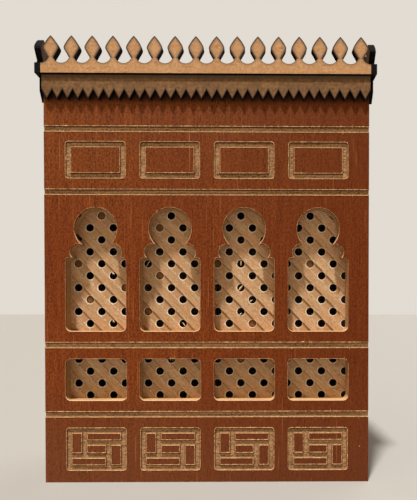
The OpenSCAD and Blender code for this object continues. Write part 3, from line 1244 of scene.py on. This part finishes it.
@dataclass
class Case:
    """The boards of the case, with the sloping sides, burrs and chips along their routed rims."""

    groove: Slope = Slope(
        name="groove",
        shallow=0.5,
        deep=2.0,
        profile=((0.05, 0.0, 0.0), (0.4, 0.2, 0.6), (0.97, 1.2, 0.8)),
        pale=paint(142, 106, 72),
        burr_r=0.4,
    )
    opening: Slope = Slope(
        name="opening",
        shallow=2.0,
        deep=20.0,
        profile=((0.05, 0.0, 0.0), (0.5, 0.2, 0.4), (1.3, 0.35, 0.7)),
        pale=paint(220, 182, 136),
        burr_r=0.17,
    )
    burns: tuple[Burn, ...] = (
        Burn((-121.7, -42.0, 228.2), (4.5, 9.0, 4.2)),
        Burn((-118.5, -45.0, 247.6), (2.6, 2.4, 2.2)),
    )
    nicks: tuple[Nick, ...] = (
        Nick(88.8, 130.6, 3.4, 1.5),
        Nick(78.6, 124.7, 2.2, 1.0),
        Nick(83.3, 10.8, 2.6, 1.0),
        Nick(94.4, 11.0, 2.0, 0.9),
        Nick(141.7, 33.0, 1.1, 0.8),
        Nick(-129.6, 300.0, 0.7, 5.0),
    )
    nick_t: float = 0.2
    burr_wander: float = 0.25
    burr_spacing: float = 0.9
    chips: Flakes = Flakes(1.3, 0.45, (0.12, 0.1, 0.12), (0.75, 0.16, 0.5))
    tears: Flakes = Flakes(2.2, 0.08, (0.08, 0.08, 0.6), (0.2, 0.14, 2.6))

    def dress(self) -> None:
        """Gives each board its finish."""
        for side, node in BOARDS.items():
            finish = VeneerFinish(
                f"red_veneer_{side.label}",
                side.outward,
                UP,
                side.reach(node),
                side.half_length(node),
                BLIND_TONE if side is Side.BACK else ROUTED_TONE,
                self.burns if side is Side.FRONT else (),
            )
            dress(node, finish.make())
        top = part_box("roof_board")[1] / MM
        roof = VeneerFinish("red_veneer_top", UP, Side.FRONT.across, top.z, top.y)
        dress("roof_board", roof.make())
        dress("floor_board", BareFinish("plain_board", SAWN_TONE).make())

    def build(self) -> None:
        """Adds the sloping sides, burrs, chips and torn fibres of each face."""
        material = BareFinish("torn_fibre", TORN_TONE).make()
        burrs = GeometryTree("Cutter Burr", BURR_INPUTS, sweep_burr)
        flakes = GeometryTree("Torn Chips", FLAKE_INPUTS, strew_flakes)
        for seed, (side, node) in enumerate(BOARDS.items(), start=1):
            turn = 0.0 if side.outward.y else math.pi / 2
            rims = find_rims(node, side)
            for slope in (self.groove, self.opening):
                chosen = slope.choose(rims)
                if chosen:
                    mesh = slope.build(side, chosen)
                    name = f"{side.label}_{slope.name}"
                    finish = SlopeFinish(f"{name}_slopes", side, side.reach(node), slope.pale)
                    mesh.materials.append(finish.make())
                    add_piece(f"{name}_slopes", mesh)
                    values = {
                        "Spacing": self.burr_spacing * MM,
                        "Wander": self.burr_wander * MM,
                        "Radius": slope.burr_r * MM,
                        "Material": material,
                    }
                    add_piece(f"{name}_burr", burrs.run(join_rims(chosen), values))
            values = self.chips.values(turn, seed, material)
            mesh = flakes.run(join_rims(self.groove.choose(rims)), values)
            add_piece(f"{side.label}_chips", mesh)
            values = self.tears.values(turn, seed + len(BOARDS), material)
            add_piece(f"{side.label}_torn_fibres", flakes.run(join_rims(rims), values))
        self.add_nicks(material)

    def add_nicks(self, material: Material) -> None:
        """Adds the larger chips of the front panel as flat flakes.

        Args:
            material: The flakes' finish.
        """
        face_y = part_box("front_panel")[0].y
        work = bmesh.new()
        for nick in self.nicks:
            place = Matrix.Translation((nick.x * MM, face_y, nick.z * MM))
            size = Matrix.Diagonal((nick.width / 2 * MM, self.nick_t * MM, nick.height / 2 * MM, 1.0))
            bmesh.ops.create_icosphere(work, subdivisions=1, radius=1.0, matrix=place @ size)
        add_piece("front_nicks", close_mesh(work, "front_nicks", material))


@dataclass(frozen=True)
class Sliver:
    """A thin sliver of wood caught in a lattice hole, from one point to another beside the hole's middle."""

    column: int
    row: int
    start: Pair
    end: Pair
    width: float
    lift: float = 0.3


@dataclass
class Lattice:
    """The drilled boards behind the openings, with their drilling discs and caught slivers."""

    sides: tuple[Side, ...] = (Side.FRONT, Side.LEFT, Side.RIGHT)
    step_x: float = 11.065
    step_z: float = 11.41
    middle_column: int = 11
    middle_x: float = -2.3
    first_row_rise: float = 10.925
    sliver_t: float = 0.35
    sliver_skew: float = 0.2
    sliver_taper: tuple[Pair, ...] = ((0.0, 0.5), (0.35, 1.0), (0.75, 0.7), (1.0, 0.12))
    slivers: tuple[Sliver, ...] = (
        Sliver(3, 10, (-1.0, 2.9), (1.2, 1.2), 1.6),
        Sliver(3, 6, (-0.6, 2.9), (1.0, 1.2), 1.4),
        Sliver(6, 11, (2.0, 3.2), (-2.6, -3.6), 0.8),
        Sliver(9, 6, (-0.4, 1.0), (2.4, -2.8), 0.9),
        Sliver(14, 11, (0.3, 3.0), (0.1, -2.0), 1.1),
        Sliver(14, 9, (-2.2, -2.6), (2.0, 2.6), 1.5),
        Sliver(15, 8, (-2.6, -1.8), (0.2, -0.4), 1.1),
        Sliver(14, 7, (-1.2, -3.0), (0.8, -1.4), 1.2),
    )

    def dress(self) -> None:
        """Gives each lattice board its finish."""
        for side in self.sides:
            node = f"{side.label}_lattice"
            low_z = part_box(node)[0].z / MM
            middle_x = self.middle_x if side is Side.FRONT else 0.0
            hole = side.across * middle_x + UP * (low_z + self.first_row_rise)
            dress(node, LatticeFinish(side, side.reach(node), hole, self.step_x, self.step_z).make())
        dress("drilling_discs", BareFinish("drilling_disc", DISC_TONE).make())

    def build(self) -> None:
        """Adds the slivers that are caught in the front lattice's holes."""
        low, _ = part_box("front_lattice")
        work = bmesh.new()
        for sliver in self.slivers:
            x = self.middle_x + (sliver.column - self.middle_column) * self.step_x
            z = low.z / MM + self.first_row_rise + sliver.row * self.step_z
            self.add_sliver(work, Vector((x, low.y / MM, z)), sliver)
        bmesh.ops.recalc_face_normals(work, faces=work.faces)
        mesh = close_mesh(work, "lattice_slivers", BareFinish("split_wood", SPLIT_TONE).make())
        add_piece("lattice_slivers", mesh)

    def add_sliver(self, work: bmesh.types.BMesh, middle: Vector, sliver: Sliver) -> None:
        """Adds one tapered sliver.

        Args:
            work: The mesh that takes it.
            middle: The middle of its hole, on the lattice's face.
            sliver: Its ends and width.
        """
        inward = Side.BACK.outward
        start, end = (Vector((x, 0, z)) for x, z in (sliver.start, sliver.end))
        aside = (end - start).normalized().cross(inward) * sliver.width / 2
        ridge = aside * self.sliver_skew - inward * self.sliver_t
        rings = []
        for share, girth in self.sliver_taper:
            spot = middle + start.lerp(end, share) + inward * sliver.lift
            corners = [spot + step * girth for step in (aside, ridge, -aside, -ridge)]
            rings.append([work.verts.new(corner * MM) for corner in corners])
        for first, second in zip(rings, rings[1:]):
            for k in range(len(first)):
                work.faces.new((first[k - 1], first[k], second[k], second[k - 1]))
        work.faces.new(rings[0][::-1])
        work.faces.new(rings[-1])


def fit_pitch(side: Side, node: str, pitch: float) -> float:
    """Evens a pattern's length so that a strip holds a whole number of them."""
    length = 2 * side.half_length(node)
    return length / round(length / pitch)


def along_pattern(finish: Finish, side: Side, start: float, pitch: float) -> Any:
    """Gives the place along one length of a strip's pattern, from 0 to 1.

    Args:
        finish: The material to build it in.
        side: The face that the strip runs along.
        start: How far before the strip's middle the pattern starts.
        pitch: The pattern's length.

    Returns:
        The place.
    """
    graph = finish.graph
    along = graph.math("ADD", graph.dot(finish.place, side.across), start)
    return graph.math("FRACT", graph.math("DIVIDE", along, pitch))


@dataclass
class Skirt:
    """The toothed strips below the crest."""

    tooth_h: float = 8.5
    tooth_pitch: float = 9.375
    tone: CutTone = CutTone(paint(146, 106, 66), paint(98, 70, 43), 0.7, paint(112, 82, 54), 2.5, 3.0)

    def dress(self) -> None:
        """Gives each strip its finish, with the shade of the crest along its top."""
        for side in Side:
            node = f"{side.label}_skirt"
            top_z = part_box(node)[1].z / MM
            rule = partial(self.distance, side, node)
            dress(node, CutFinish(f"cut_fibreboard_{node}", side, rule, self.tone, top_z).make())

    def distance(self, side: Side, node: str, finish: Finish) -> Any:
        """Measures how far a point of a strip is from the sloping sides of its teeth.

        Args:
            side: The face that the strip runs along.
            node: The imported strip.
            finish: The material to build it in.

        Returns:
            The distance in millimetres.
        """
        graph = finish.graph
        pitch = fit_pitch(side, node, self.tooth_pitch)
        turn = along_pattern(finish, side, side.half_length(node), pitch)
        swing = graph.math("ABSOLUTE", graph.line(turn, 2.0, -1.0))
        edge_z = graph.line(swing, self.tooth_h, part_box(node)[0].z / MM)
        flatten = 1 / math.hypot(1, 2 * self.tooth_h / pitch)
        return graph.times(graph.minus(finish.level(), edge_z), flatten)


@dataclass
class Finial:
    """One length of the crest: a bud on its neck between two half scallops, with heights above its foot."""

    pitch: float
    band_h: float = 8.8
    scallop_r: float = 7.7
    neck_rise: float = 4.7
    bud_drop: float = 9.0
    bud_w: float = 15.0
    bud_rise: float = 11.0
    bud_bulge: float = 0.65
    blend: float = 2.4
    scallop_clear: float = 0.8
    steps: int = 36

    def __post_init__(self) -> None:
        """Works out the scallop's and the bud's arcs and the slope of the bud's lower sides."""
        half_bud = self.bud_w / 2
        chord = math.hypot(half_bud, self.bud_rise)
        self.side_r = (chord**2 / 4 + self.bud_bulge**2) / (2 * self.bud_bulge)
        inset = (self.side_r - self.bud_bulge) / chord
        self.neck_z = self.band_h + self.neck_rise
        self.side_x = self.bud_rise * inset - half_bud / 2
        self.side_z = self.neck_z + self.bud_drop + self.bud_rise / 2 - half_bud * inset
        self.scallop_z = self.band_h + self.scallop_r
        half_scallop = math.sqrt(self.scallop_r**2 - (self.scallop_r - self.neck_rise) ** 2)
        self.half_neck = self.pitch / 2 - half_scallop
        self.lean = Vector((-self.bud_drop, half_bud - self.half_neck)).normalized()

    def bud_edge(self, aside: float, height: float) -> float:
        """Gives how far inside the bud's outline a point lies, with the widest corners blended round.

        Args:
            aside: The point's distance from the finial's middle line.
            height: Its height.

        Returns:
            The distance, which is below nothing outside.
        """
        arc = self.side_r - math.hypot(aside + self.side_x, height - self.side_z)
        straight = (aside - self.half_neck) * self.lean.x + (height - self.neck_z) * self.lean.y
        near = max(self.blend - abs(arc - straight), 0.0) / self.blend
        return min(arc, straight) - near**3 * self.blend / 6

    def half_width(self, height: float) -> float:
        """Finds the bud's half width at a height by halving the room again and again.

        Args:
            height: The height.

        Returns:
            The half width.
        """
        low, high = 0.0, self.bud_w
        for _ in range(self.steps):
            middle = (low + high) / 2
            if self.bud_edge(middle, height) > 0:
                low = middle
            else:
                high = middle
        return low

    def flank(self) -> list[Pair]:
        """Gives one side of the outline, from the scallop's bottom to the bud's tip.

        Returns:
            Its points, as distances from the middle line and heights.
        """
        turn = math.acos(1 - self.neck_rise / self.scallop_r)
        points = []
        for k in range(self.steps // 2):
            angle = turn * 2 * k / self.steps
            aside = self.pitch / 2 - self.scallop_r * math.sin(angle)
            points.append((aside, self.scallop_z - self.scallop_r * math.cos(angle)))
        for k in range(self.steps + 1):
            height = self.neck_z + (self.bud_drop + self.bud_rise) * k / self.steps
            points.append((self.half_width(height), height))
        return points


@dataclass
class Crest:
    """The scalloped strips with bud finials along the top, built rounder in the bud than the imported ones."""

    finial_pitch: float = 18.75
    side_shift: float = 2.0
    tone: CutTone = CutTone(paint(210, 163, 116), paint(182, 133, 86), 1.05, paint(152, 120, 92), 4.0, 2.4)
    join: float = 0.01

    def build(self) -> None:
        """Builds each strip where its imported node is, with its finish."""
        for side in Side:
            node = f"{side.label}_crest"
            half = side.half_length(node)
            finial = Finial(fit_pitch(side, node, self.finial_pitch))
            shift = self.side_shift if side in (Side.LEFT, Side.RIGHT) else 0.0
            mesh = self.strip(side, node, self.outline(finial, half, shift))
            rule = partial(self.distance, side, finial, half - shift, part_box(node)[0].z / MM)
            mesh.materials.append(CutFinish(f"cut_fibreboard_{node}", side, rule, self.tone).make())
            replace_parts(add_piece(f"{side.label}_finials", mesh), node)

    def outline(self, finial: Finial, half: float, shift: float) -> list[Pair]:
        """Lays finials side by side along a strip.

        Args:
            finial: The finial to repeat.
            half: Half of the strip's length.
            shift: How far the finials are moved along it.

        Returns:
            The strip's outline, as places along it and heights above its foot.
        """
        flank = finial.flank()
        points = []
        for k in range(round(2 * half / finial.pitch)):
            middle = shift - half + (k + 0.5) * finial.pitch
            points += [(middle - aside, height) for aside, height in flank]
            points += [(middle + aside, height) for aside, height in reversed(flank[1:-1])]
        points = [point for point in points if abs(point[0]) < half - self.join]
        end_z = finial.scallop_z - math.sqrt(finial.scallop_r**2 - shift**2)
        return [(half, 0.0), (-half, 0.0), (-half, end_z), *points, (half, end_z)]

    @staticmethod
    def strip(side: Side, node: str, outline: list[Pair]) -> Mesh:
        """Gives an outline the thickness and the place of a packed strip.

        Args:
            side: The face that the strip runs along.
            node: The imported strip.
            outline: The strip's outline.

        Returns:
            The strip's mesh.
        """
        low_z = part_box(node)[0].z / MM
        reach = side.reach(node)
        work = bmesh.new()
        sheets = []
        for out in (reach, reach - side.thickness(node)):
            places = [side.across * x + side.outward * out + UP * (low_z + z) for x, z in outline]
            sheets.append([work.verts.new(place * MM) for place in places])
        for corners in tessellate_polygon([[Vector((x, z, 0)) for x, z in outline]]):
            for sheet in sheets:
                work.faces.new([sheet[k] for k in corners])
        outer, inner = sheets
        for k in range(len(outline)):
            work.faces.new((outer[k - 1], outer[k], inner[k], inner[k - 1]))
        bmesh.ops.recalc_face_normals(work, faces=work.faces)
        return close_mesh(work, "strip")

    @staticmethod
    def distance(side: Side, finial: Finial, start: float, low_z: float, finish: Finish) -> Any:
        """Measures how far a point of a strip is from the outline of its buds and scallops.

        Args:
            side: The face that the strip runs along.
            finial: The finial that repeats along it.
            start: How far before the strip's middle the finials start.
            low_z: The level of the strip's foot.
            finish: The material to build it in.

        Returns:
            The distance in millimetres.
        """
        graph = finish.graph
        turn = along_pattern(finish, side, start, finial.pitch)
        aside = graph.math("ABSOLUTE", graph.line(turn, finial.pitch, -finial.pitch / 2))
        height = graph.minus(finish.level(), low_z)

        def span(x: float, z: float, sign: float) -> Any:
            """Measures the distance to a point beside the finial."""
            return graph.vector("LENGTH", graph.combine(graph.line(aside, sign, x), graph.minus(height, z)))

        arc = graph.minus(finial.side_r, span(finial.side_x, finial.side_z, 1.0))
        across = graph.times(graph.minus(aside, finial.half_neck), finial.lean.x)
        straight = graph.line(graph.minus(height, finial.neck_z), finial.lean.y, across)
        bud = graph.math("SMOOTH_MIN", arc, straight, finial.blend)
        scallop = span(finial.pitch / 2, finial.scallop_z, -1.0)
        scallop = graph.minus(scallop, finial.scallop_r - finial.scallop_clear)
        above = graph.math("GREATER_THAN", height, finial.neck_z)
        return graph.add("ShaderNodeMix", {0: above, 2: scallop, 3: bud}, data_type="FLOAT").outputs[0]


@dataclass(frozen=True)
class Sun:
    """A distant light with its direction, its strength and how many degrees wide it is."""

    name: str
    way: Triple
    strength: float
    width: float
    colour: Triple = (1.0, 1.0, 1.0)


@dataclass
class Studio:
    """The plain floor, the light and the camera."""

    floor_size: float = 30.0
    floor_colour: Colour = paint(150, 146, 140)
    floor_roughness: float = 0.9
    backdrop: Colour = paint(226, 220, 211)
    fill_colour: Colour = (1.0, 0.71, 0.39, 1.0)
    fill_level: float = 0.18
    suns: tuple[Sun, ...] = (
        Sun("key", (0.45, 1.0, -3.5), 5.2, 4.0),
        Sun("soft", (0.7, 1.0, -1.25), 0.85, 80.0, (1.0, 0.83, 0.6)),
        Sun("behind", (-1.0, -1.1, -0.9), 1.2, 60.0),
    )
    eye_distance: float = 380.56
    eye_x: float = 40.0
    eye_z: float = 160.0
    yaw: float = 0.506
    pitch: float = -0.66
    focal_px: float = 410.0
    axis_right_px: float = 45.5
    axis_below_px: float = 64.9
    sensor: float = 36.0

    def build(self) -> None:
        """Builds the floor, the light and the camera."""
        self.build_floor()
        self.build_lights()
        self.build_camera()

    def build_floor(self) -> None:
        """Lays the plain pale floor."""
        half = self.floor_size / 2
        corners = [(-half, -half, 0), (half, -half, 0), (half, half, 0), (-half, half, 0)]
        mesh = bpy.data.meshes.new("floor")
        mesh.from_pydata(corners, [], [(0, 1, 2, 3)])
        floor = bpy.data.objects.new("floor", mesh)
        bpy.context.scene.collection.objects.link(floor)
        material = bpy.data.materials.new("floor")
        material.use_nodes = True
        surface = material.node_tree.nodes["Principled BSDF"]
        surface.inputs["Base Color"].default_value = self.floor_colour
        surface.inputs["Roughness"].default_value = self.floor_roughness
        mesh.materials.append(material)
        log.info("laid the floor")

    def build_lights(self) -> None:
        """Sets the distant lights and the pale surroundings."""
        for sun in self.suns:
            lamp = bpy.data.lights.new(sun.name, "SUN")
            lamp.energy = sun.strength
            lamp.color = sun.colour
            lamp.angle = math.radians(sun.width)
            holder = bpy.data.objects.new(sun.name, lamp)
            holder.rotation_euler = Vector(sun.way).to_track_quat("-Z", "Y").to_euler()
            bpy.context.scene.collection.objects.link(holder)
        world = bpy.data.worlds.new("surroundings")
        world.use_nodes = True
        graph = Graph(world.node_tree)
        world.node_tree.nodes.clear()
        seen = graph.add("ShaderNodeLightPath").outputs["Is Camera Ray"]
        fill = graph.add("ShaderNodeBackground", {"Color": self.fill_colour, "Strength": self.fill_level})
        pale = graph.add("ShaderNodeBackground", {"Color": self.backdrop, "Strength": 1.0})
        shader = graph.add("ShaderNodeMixShader", {0: seen, 1: fill.outputs[0], 2: pale.outputs[0]})
        graph.add("ShaderNodeOutputWorld", {"Surface": shader.outputs[0]})
        bpy.context.scene.world = world
        bpy.context.scene.view_settings.view_transform = "Standard"
        log.info("set the lights")

    def build_camera(self) -> None:
        """Sets the camera at the photograph's viewpoint."""
        lens = bpy.data.cameras.new("camera")
        lens.sensor_width = self.sensor
        lens.lens = self.focal_px * self.sensor / PHOTO_HEIGHT_PX
        lens.shift_x = -self.axis_right_px / PHOTO_HEIGHT_PX
        lens.shift_y = self.axis_below_px / PHOTO_HEIGHT_PX
        camera = bpy.data.objects.new("camera", lens)
        face_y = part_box("front_panel")[0].y
        camera.location = (self.eye_x * MM, face_y - self.eye_distance * MM, self.eye_z * MM)
        tilt = math.radians(90 + self.pitch)
        camera.rotation_euler = Euler((tilt, 0, math.radians(-self.yaw)))
        bpy.context.scene.collection.objects.link(camera)
        bpy.context.scene.camera = camera
        log.info("set the camera")


def main() -> None:
    """Builds and dresses the screen, then sets the studio round it."""
    logging.basicConfig(level=logging.INFO, format="%(message)s")
    case = Case()
    case.dress()
    case.build()
    lattice = Lattice()
    lattice.dress()
    lattice.build()
    Skirt().dress()
    Crest().build()
    Studio().build()


if __name__ == "__main__":
    main()
